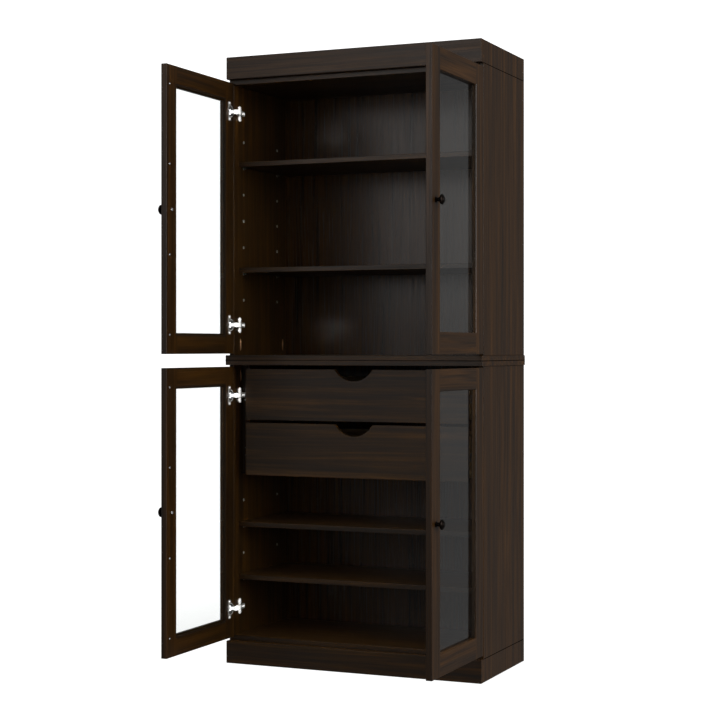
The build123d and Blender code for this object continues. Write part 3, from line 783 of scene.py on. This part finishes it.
def face_behind(look):
    """The board face that a pocket opens in, as a point on it and its outward normal."""
    sizes = [abs(part) for part in look]
    axis = sizes.index(sorted(sizes)[1])
    normal = Vector((0, 0, 0))
    normal[axis] = math.copysign(1, look[axis])
    if axis == 0 and normal.x > 0:
        return Vector(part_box("lower_side_left")[1]), normal
    if axis == 0:
        return Vector(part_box("lower_side_right")[0]), normal
    if normal.z < 0:
        return Vector(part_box("bottom_panel")[0]), normal
    return Vector(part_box("top_panel")[1]), normal


def pocket_lining(centre, look, thick):
    tube = start(
        bpy.ops.mesh.primitive_cylinder_add,
        vertices=28,
        radius=POCKET_RADIUS,
        depth=LINING_LENGTH,
        end_fill_type="NOTHING",
        location=(0, 0, LINING_LENGTH / 2),
    )
    bpy.ops.object.transform_apply(location=True, rotation=True, scale=True)
    base = centre - look * thick
    turn = look.to_track_quat("Z", "Y").to_matrix().to_4x4()
    tube.data.transform(Matrix.Translation(base) @ turn)
    point, normal = face_behind(look)
    select(tube, "FACE", lambda face: True)
    bpy.ops.mesh.bisect(plane_co=point - normal * NEAR, plane_no=normal, clear_outer=True)
    leave()
    modifier = tube.modifiers.new("wall", "SOLIDIFY")
    modifier.thickness = LINING_WALL
    modifier.offset = -1
    bpy.ops.object.modifier_apply(modifier="wall")
    return tube


linings = [
    pocket_lining(centre, look, thick)
    for centre, look, radius, thick, length in pocket_screw_places
]
bare_wood = birch("bare_bored_wood", "Z", "#E2B48C", "#B98A62")
fitted(joined(linings, "pocket_linings"), bare_wood, "carcass", "birch_plywood")

# %% [markdown]
# ## Painted shade in the joints
# Where two cases meet, the rounded edges leave a narrow groove, which a real gap would show as a
# dark line of shade all round. The imported boards touch there, so light would reach the bottom.
# A thin near-black strip fills each groove to just below the faces: painted shade in place of the
# gap's shadow. It could be a darker paint on the boards, but a strip keeps its width at every angle.

# %% Joint strips
STRIP_WIDTH = 2.6 * MM
STRIP_DEPTH = 1.3 * MM
STRIP_SETBACK = 0.04 * MM
STRIP_END = 1.5 * MM  # from the end of a board to the end of its strip


def joint_strip(low, high, thin_axis):
    """A strip with its long edges just rounded."""
    strip = block(low, high)
    long_axis = 1 - thin_axis
    select(strip, "EDGE", along(long_axis))
    bpy.ops.mesh.bevel(offset=0.15 * MM, segments=2)
    leave()
    return strip


def side_strips(level, half_width, y_range):
    """A strip on each side of the cabinet at one level."""
    z = (level - STRIP_WIDTH / 2, level + STRIP_WIDTH / 2)
    outer, inner = half_width - STRIP_SETBACK, half_width - STRIP_SETBACK - STRIP_DEPTH
    return [
        joint_strip((x[0], y_range[0], z[0]), (x[1], y_range[1], z[1]), 0)
        for x in ((inner, outer), (-outer, -inner))
    ]


side_low, side_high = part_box("lower_side_right")
waist_low, waist_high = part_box("lower_waist_panel")
half_cabinet, half_waist = side_high[0], waist_high[0]
case_y = (side_low[1] + STRIP_END, side_high[1] - STRIP_END)
waist_y = (waist_low[1] + STRIP_SETBACK, waist_high[1] - STRIP_SETBACK)
strips = side_strips(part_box("plinth_ends")[1][2], half_cabinet, case_y)
strips += side_strips(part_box("cornice_ends")[0][2], half_cabinet, case_y)
strips += side_strips(waist_high[2], half_waist, waist_y)
strips.append(
    joint_strip(
        (-half_waist + STRIP_END, waist_y[0], waist_high[2] - STRIP_WIDTH / 2),
        (half_waist - STRIP_END, waist_y[0] + STRIP_DEPTH, waist_high[2] + STRIP_WIDTH / 2),
        1,
    )
)
# near-black painted shade for the gap in each joint
painted_gap_shade = extruded_vinyl(
    "painted_gap_shade_strip", ("#040201", "#090502"), roughness=(0.8, 0.95), specular=0.05
)
fitted(joined(strips, "joint_strips"), painted_gap_shade, "carcass", "stained_wood")

# %% [markdown]
# ## Concealed hinges
# Each hinge is three pressings: a cup in the door with a flange, an arm, and a plate on the side.
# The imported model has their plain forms. They are remade with what catches the light: a raised
# elbow in the arm with a slot and a screw behind it, rounded lobes on the plate, and a hollow cup
# with a flange that stands off to one side. One of each is modelled at its place on the left, then
# copied up and down and mirrored to the right.

# %% Hinge sizes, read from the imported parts
arm_islands = sorted(islands("hinge_arms"), key=lambda island: box_of(island)[0].x)
left_arms = [box_of(island) for island in arm_islands if box_of(island)[1].x < 0]
arm_low, arm_high = left_arms[0]
arm_level = (arm_low.z + arm_high.z) / 2
plate_boxes = [box_of(island) for island in islands("hinge_plates")]
plate_low, plate_high = next(
    box for box in plate_boxes if box[1].x < 0 and box[0].z < arm_level < box[1].z
)
levels = sorted({round((low.z + high.z) / 2, 5) for low, high in left_arms})
print("hinge levels:", levels, "arm", arm_low, arm_high, "plate", plate_low, plate_high)

KNUCKLE = 2.2 * MM
SLOT_PLACE = 52 * MM
CLIP_FROM = 37.9 * MM  # behind this the arm is its duller clip
WING_OFFSET = 9.5 * MM  # from the cup's axis to its flange, away from the hinge edge
ARM_SHEET = 5 * MM
pivot = Vector((arm_low.x + KNUCKLE, arm_low.y + KNUCKLE, 0))


# %% The arm
# each point of the elbow: how far it is from the arm's front end and above its flat, in mm
ELBOW = ((0, 1), (3, 5.5), (9, 9.5), (18, 10.5), (28, 7), (38, 0.5))


def outer_arris(edge):
    """A sharp edge of which neither face looks back at the side panel."""
    sharp = len(edge.link_faces) == 2 and edge.calc_face_angle() > 1.2
    return sharp and all(face.normal.x > -0.3 for face in edge.link_faces)


def hinge_arm():
    """The arm with its elbow, its slot and its setting screw, a tongue and the knuckle."""
    half = (arm_high.z - arm_low.z) / 2
    outer, inner = arm_high.x, arm_high.x - ARM_SHEET
    body = block((inner, arm_low.y, -half), (outer, arm_high.y, half))
    select(body, "FACE", lambda face: True)
    for place, rise in ELBOW[1:]:
        bpy.ops.mesh.select_all(action="SELECT")
        bpy.ops.mesh.bisect(plane_co=(0, arm_low.y + place * MM, 0), plane_no=(0, 1, 0))
    for place, rise in ELBOW:
        level = arm_low.y + place * MM
        select(body, "EDGE", along(2, lambda edge: abs(edge.verts[0].co.y - level) < NEAR))
        bpy.ops.transform.translate(value=(rise * MM, 0, 0))
    select(body, "EDGE", lambda edge: all(v.co.y < arm_low.y + 32 * MM for v in edge.verts))
    bpy.ops.transform.resize(value=(1, 1, 0.9), center_override=(0, 0, 0))
    select(body, "EDGE", outer_arris)
    bpy.ops.mesh.bevel(offset=1.3 * MM, segments=3, profile=0.5)
    body.data.materials.append(nickel)
    body.data.materials.append(nickel_with_painted_shade)
    select(body, "FACE", lambda face: face.calc_center_median().y > arm_low.y + CLIP_FROM)
    body.active_material_index = 1
    bpy.ops.object.material_slot_assign()
    leave()
    slot = start(bpy.ops.mesh.primitive_cylinder_add, vertices=24, radius=2.3 * MM, depth=12 * MM)
    slot.data.transform(Matrix.Rotation(math.radians(90), 4, "Y"))
    slot.data.transform(Matrix.Diagonal((1, 1.8, 1, 1)))
    slot.data.transform(Matrix.Translation((outer, arm_low.y + SLOT_PLACE, 0)))
    cut(body, slot)
    setting_screw = fastener(2.0 * MM, 1.2 * MM, 6 * MM)
    setting_screw.data.transform(Matrix.Rotation(math.radians(90), 4, "Y"))
    setting_screw.data.transform(Matrix.Translation((outer - 0.8 * MM, arm_low.y + SLOT_PLACE, 0)))
    tongue_y = (arm_low.y + 0.3 * MM, arm_low.y + 2 * MM)
    tongue = block((pivot.x, tongue_y[0], -4.4 * MM), (outer - 0.6 * MM, tongue_y[1], 4.4 * MM))
    select(tongue, "EDGE", along(0))
    bpy.ops.mesh.bevel(offset=0.8 * MM, segments=2)
    leave()
    knuckle = start(
        bpy.ops.mesh.primitive_cylinder_add, vertices=24, radius=KNUCKLE, depth=8.8 * MM
    )
    select(knuckle, "FACE", lambda face: abs(face.normal.z) > 0.9)
    bpy.ops.mesh.inset(thickness=0.4 * MM)
    bpy.ops.mesh.delete(type="FACE")
    leave()
    wall = knuckle.modifiers.new("wall", "SOLIDIFY")
    wall.thickness = 0.85 * MM
    bpy.context.view_layer.objects.active = knuckle
    bpy.ops.object.modifier_apply(modifier="wall")
    knuckle.data.transform(Matrix.Translation(pivot))
    return joined([body, setting_screw, tongue, knuckle], "hinge_arm_master")


# %% The plate
def rim_of_top(edge):
    """An edge between the face that looks into the cabinet and a face at its side."""
    return len([face for face in edge.link_faces if face.normal.x > 0.9]) == 1


def hinge_plate():
    """The plate under the arm, with two lobes for its screws."""
    level_low, level_high = plate_low.z - arm_level, plate_high.z - arm_level
    wing_y = (plate_high.y - 23 * MM, plate_high.y - 9 * MM)
    wing_x = (plate_low.x, plate_low.x + 2 * MM)
    wings = block((wing_x[0], wing_y[0], level_low), (wing_x[1], wing_y[1], level_high))
    for z in (-10.5 * MM, -7 * MM, 7 * MM, 10.5 * MM):
        select(wings, "FACE", lambda face: True)
        bpy.ops.mesh.bisect(plane_co=(0, 0, z), plane_no=(0, 0, 1))
    middle = sum(wing_y) / 2
    select(wings, "EDGE", lambda edge: all(7.2 * MM > abs(v.co.z) > 6.8 * MM for v in edge.verts))
    bpy.ops.transform.resize(value=(1, 0.72, 1), center_override=(0, middle, 0))
    select(wings, "EDGE", along(0, lambda edge: abs(edge.verts[0].co.z) > level_high - NEAR))
    bpy.ops.mesh.bevel(offset=5.5 * MM, segments=6)
    select(wings, "EDGE", rim_of_top)
    bpy.ops.mesh.bevel(offset=0.5 * MM, segments=2)
    leave()
    boss = block((plate_low.x, plate_low.y, -5.4 * MM), (plate_high.x, plate_high.y, 5.4 * MM))
    select(boss, "EDGE", lambda edge: all(v.co.x > plate_high.x - NEAR for v in edge.verts))
    bpy.ops.mesh.bevel(offset=0.7 * MM, segments=3)
    select(boss, "EDGE", along(0, lambda edge: abs(edge.verts[0].co.z) > 5 * MM))
    bpy.ops.mesh.bevel(offset=1.6 * MM, segments=3)
    leave()
    return joined([wings, boss], "hinge_plate_master")


# %% The cup
CUP_RADIUS = 17.5 * MM
CUP_WALL = 1.0 * MM
CUP_FLOOR = 1.4 * MM
FLANGE_THICKNESS = 1 * MM


def inside_cup(face):
    """The faces of the hollow, which look at its axis or up from its bottom."""
    middle = face.calc_center_median()
    if face.normal.z > 0.5:
        return middle.z < 0
    return Vector((middle.x, middle.y, 0)).dot(face.normal) < 0


def hinge_cup(low, high):
    """A cup whose flange looks along +X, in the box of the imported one."""
    centre_y = low.y + CUP_RADIUS
    face = high.x - FLANGE_THICKNESS
    cup = start(
        bpy.ops.mesh.primitive_cylinder_add, vertices=48, radius=CUP_RADIUS, depth=face - low.x
    )
    select(cup, "FACE", facing(2, 1))
    bpy.ops.mesh.inset(thickness=CUP_WALL)
    depth = (0, 0, -(face - low.x) + CUP_FLOOR)
    bpy.ops.mesh.extrude_region_move(TRANSFORM_OT_translate={"value": depth})
    bpy.ops.transform.resize(value=(0.93, 0.93, 1))
    bpy.ops.mesh.inset(thickness=5.0 * MM)
    bpy.ops.transform.translate(value=(0, 0, -0.5 * MM))
    select(cup, "EDGE", lambda edge: all(v.co.z > (face - low.x) / 2 - NEAR for v in edge.verts))
    bpy.ops.mesh.bevel(offset=0.35 * MM, segments=2)
    # the faces inside the hollow get the dark nickel, painted shade for the inside of the cup
    cup.data.materials.append(nickel)
    cup.data.materials.append(painted_cup_shade_nickel)
    select(cup, "FACE", inside_cup)
    cup.active_material_index = 1
    bpy.ops.object.material_slot_assign()
    leave()
    cup.data.transform(Matrix.Rotation(math.radians(90), 4, "Y"))
    cup.data.transform(Matrix.Translation(((face + low.x) / 2, centre_y, 0)))

    half = (high.z - low.z) / 2
    wing_y = (centre_y - WING_OFFSET - 6.5 * MM, centre_y - WING_OFFSET + 6.5 * MM)
    wing = block((face, wing_y[0], -half), (high.x, wing_y[1], half))
    select(wing, "EDGE", along(0))
    bpy.ops.mesh.bevel(offset=3.2 * MM, segments=5)
    select(wing, "FACE", facing(0, 1))
    bpy.ops.mesh.inset(thickness=0.6 * MM)
    leave()
    hollow = start(
        bpy.ops.mesh.primitive_cylinder_add,
        vertices=48,
        radius=CUP_RADIUS - 1.1 * CUP_WALL,
        depth=20 * MM,
    )
    hollow.data.transform(Matrix.Rotation(math.radians(90), 4, "Y"))
    hollow.data.transform(Matrix.Translation((face, centre_y, 0)))
    cut(wing, hollow)
    # the flange wears the darker nickel, painted shade for the shadow across it
    wing.data.materials.append(nickel_with_painted_shade)

    parts = [cup, wing]
    for z in (-8 * MM, 5 * MM):
        lug = block(
            (low.x + 1 * MM, pivot.y - KNUCKLE, z),
            (pivot.x + KNUCKLE, pivot.y + KNUCKLE, z + 3 * MM),
        )
        select(lug, "EDGE", along(2, lambda edge: edge.verts[0].co.x > pivot.x))
        bpy.ops.mesh.bevel(offset=1.8 * MM, segments=4)
        leave()
        parts.append(lug)
    pin = start(bpy.ops.mesh.primitive_cylinder_add, vertices=20, radius=1.2 * MM, depth=16 * MM)
    select(pin, "FACE", lambda face: abs(face.normal.z) > 0.9)
    bpy.ops.mesh.inset(thickness=0.4 * MM)
    bpy.ops.transform.resize(value=(1, 1, 1.02))
    leave()
    pin.data.transform(Matrix.Translation(pivot))
    parts.append(pin)
    return joined(parts, "hinge_cup_master")


# %% Hinges in their places
MIRROR = Matrix.Diagonal((-1, 1, 1, 1))


def placed(master, heights, sides=SIDES):
    """Copies of a left-hand master at each height, mirrored where they go on the right."""
    copies = []
    for side in sides:
        flip = MIRROR if side == "right" else Matrix.Identity(4)
        copies += [copied(master, Matrix.Translation((0, 0, z)) @ flip) for z in heights]
    return copies


arm_master = hinge_arm()
plate_master = hinge_plate()
arms = joined(placed(arm_master, levels), "hinge_arm_set")
fitted(arms, nickel, "carcass", "nickel_hinge", "hinge_arms")
plates = joined(placed(plate_master, levels), "hinge_plate_set")
fitted(plates, nickel, "carcass", "nickel_hinge", "hinge_plates")
cup_boxes = [box_of(island) for island in islands("upper_left_door_hinge_cups")]
cup_box = max(cup_boxes, key=lambda box: (box[1] - box[0]).length)
cup_middle = (cup_box[0].z + cup_box[1].z) / 2
cup_half = (cup_box[1].z - cup_box[0].z) / 2
cup_master = hinge_cup(
    Vector((cup_box[0].x, cup_box[0].y, -cup_half)), Vector((cup_box[1].x, cup_box[1].y, cup_half))
)
for tier, heights in (("lower", levels[:2]), ("upper", levels[2:])):
    for side in SIDES:
        door = f"{tier}_{side}_door"
        cups = joined(placed(cup_master, heights, [side]), f"{door}_cups")
        fitted(cups, nickel, door, "nickel_hinge", f"{door}_hinge_cups")
for master in (arm_master, plate_master, cup_master):
    bpy.data.objects.remove(master)

# %% [markdown]
# ## The floor and the lights
# The cabinet stands in a plain white studio. The floor is a wide pale sheet. A large soft light on
# the right grazes the side panel and the outer faces of the right doors, and one above lights the
# tops of the shelves. One at the front is there for its reflection alone, a grey sheen on the backs
# and the cornice, and it passes the panes by. A small one lights only the hinges and the bright
# screws. The room itself is white to the eye and seen through glass, but gives matt and glossy
# surfaces much less, so that dark wood stays dark.

# %% Floor
FLOOR_SIZE = 60.0
WHITE = (1.0, 1.0, 1.0, 1.0)
bpy.ops.object.select_all(action="DESELECT")
bpy.ops.mesh.primitive_plane_add(size=FLOOR_SIZE, location=(0, 0, 0))
floor = bpy.context.object
floor.name = "studio_floor"
floor.visible_glossy = False
floor.visible_diffuse = False
material, tree, surface = new_material("pale_studio_floor")
place = add_node(tree, "ShaderNodeTexCoord").outputs["Object"]
mottle = add_node(tree, "ShaderNodeTexNoise", {"Vector": place, "Scale": 2.0, "Detail": 3.0})
shade = add_node(tree, "ShaderNodeValToRGB", {"Fac": mottle.outputs["Fac"]})
shade.color_ramp.elements[0].color = linear("#F4F4F4")
shade.color_ramp.elements[1].color = linear("#FCFCFC")
paper = add_node(
    tree,
    "ShaderNodeBsdfPrincipled",
    {"Base Color": shade.outputs["Color"], "Roughness": 0.9, "Specular IOR Level": 0.1},
)
# the paper fades into the white room with its distance from the cabinet
reach = add_node(tree, "ShaderNodeVectorMath", {0: place}, operation="LENGTH")
fade = add_node(
    tree,
    "ShaderNodeMapRange",
    {
        "Value": reach.outputs["Value"],
        "From Min": 0.3,
        "From Max": 1.6,
        "To Min": 0.8,
        "To Max": 1.0,
    },
    interpolation_type="SMOOTHSTEP",
)
rays = add_node(tree, "ShaderNodeLightPath")
shine = add_node(
    tree,
    "ShaderNodeMapRange",
    {"Value": rays.outputs["Glossy Depth"], "To Min": 1.3, "To Max": 0.1},
)
glow = add_node(tree, "ShaderNodeEmission", {"Color": WHITE, "Strength": shine.outputs[0]})
blend = add_node(
    tree, "ShaderNodeMixShader", {"Fac": fade.outputs[0], 1: paper.outputs[0], 2: glow.outputs[0]}
)
tree.links.new(blend.outputs[0], surface)
floor.data.materials.append(material)


# %% Lights
def soft_light(name, place, target, size, power):
    """A rectangular lamp that faces the target."""
    lamp = bpy.data.lights.new(name, "AREA")
    lamp.shape = "RECTANGLE"
    lamp.size, lamp.size_y = size
    lamp.energy = power
    holder = bpy.data.objects.new(name, lamp)
    bpy.context.scene.collection.objects.link(holder)
    aim = Vector(target) - Vector(place)
    holder.location = place
    holder.rotation_euler = aim.to_track_quat("-Z", "Y").to_euler()
    print(name, "at", tuple(place), round(aim.length, 2), "m away")
    return holder


middle = (0, 0, 0.95)
soft_light("side_light", (4.7, -1.8, 2.0), middle, (2.4, 3.0), 105)
soft_light("top_light", (0.4, -1.2, 4.6), (0, 0, 1.2), (3.0, 3.0), 10)
front_sheen = soft_light("front_sheen", (-1.1, -5.1, 2.55), (-0.2, 0, 2.35), (3.0, 2.8), 34)
front_sheen.visible_diffuse = False
woodwork = bpy.data.collections.new("all_but_glass")
for thing in bpy.data.objects:
    if thing.type == "MESH" and glass not in list(thing.data.materials):
        woodwork.objects.link(thing)
front_sheen.light_linking.receiver_collection = woodwork

# A lamp for the bright fittings alone. It passes through the boards, as their tiny faces would
# otherwise show only the dark wood around them.
fittings_light = soft_light("fittings_light", (3.4, -3.9, 1.5), (-0.3, -0.1, 1.0), (1.0, 1.0), 700)
fittings = bpy.data.collections.new("bright_fittings")
for thing in bpy.data.objects:
    if thing.type == "MESH" and {nickel, zinc} & set(thing.data.materials):
        fittings.objects.link(thing)
fittings_light.light_linking.receiver_collection = fittings
fittings_light.light_linking.blocker_collection = fittings

# %% The white room
SEEN, MATT, GLOSSY = 1.3, 0.1, 0.12
BELOW = 0.15
world = bpy.data.worlds.new("white_studio")
bpy.context.scene.world = world
world.use_nodes = True
tree = world.node_tree
tree.nodes.clear()
direction = add_node(tree, "ShaderNodeTexCoord").outputs["Generated"]
height = add_node(tree, "ShaderNodeSeparateXYZ", {0: direction})
above = add_node(
    tree,
    "ShaderNodeMapRange",
    {
        "Value": height.outputs["Z"],
        "From Min": -0.2,
        "From Max": 0.1,
        "To Min": MATT * BELOW,
        "To Max": MATT,
    },
)
rays = add_node(tree, "ShaderNodeLightPath")
matt = add_node(
    tree,
    "ShaderNodeMapRange",
    {"Value": rays.outputs["Diffuse Depth"], "To Min": SEEN, "To Max": above.outputs[0]},
)
strength = add_node(
    tree,
    "ShaderNodeMapRange",
    {"Value": rays.outputs["Glossy Depth"], "To Min": matt.outputs[0], "To Max": GLOSSY},
)
sky = add_node(tree, "ShaderNodeBackground", {"Color": WHITE, "Strength": strength.outputs[0]})
add_node(tree, "ShaderNodeOutputWorld", {"Surface": sky.outputs[0]})
bpy.context.scene.view_settings.view_transform = "Standard"

# %% [markdown]
# ## The camera
# The cabinet is seen from its right, 23.5 degrees round from the front, by a lens of 85 mm at half
# the cabinet's height, held level so that its uprights stay upright.

# %% Camera
camera_data = bpy.data.cameras.new("camera")
camera_data.lens = 85
camera_data.sensor_width = 36
camera_data.shift_x = 0.0
camera_data.shift_y = -0.01717
camera_data.clip_end = 200
camera = bpy.data.objects.new("camera", camera_data)
bpy.context.scene.collection.objects.link(camera)
camera.location = (2.0127, -4.7433, 0.9523)
camera.rotation_euler = (math.radians(90), 0, math.radians(23.52))
bpy.context.scene.camera = camera
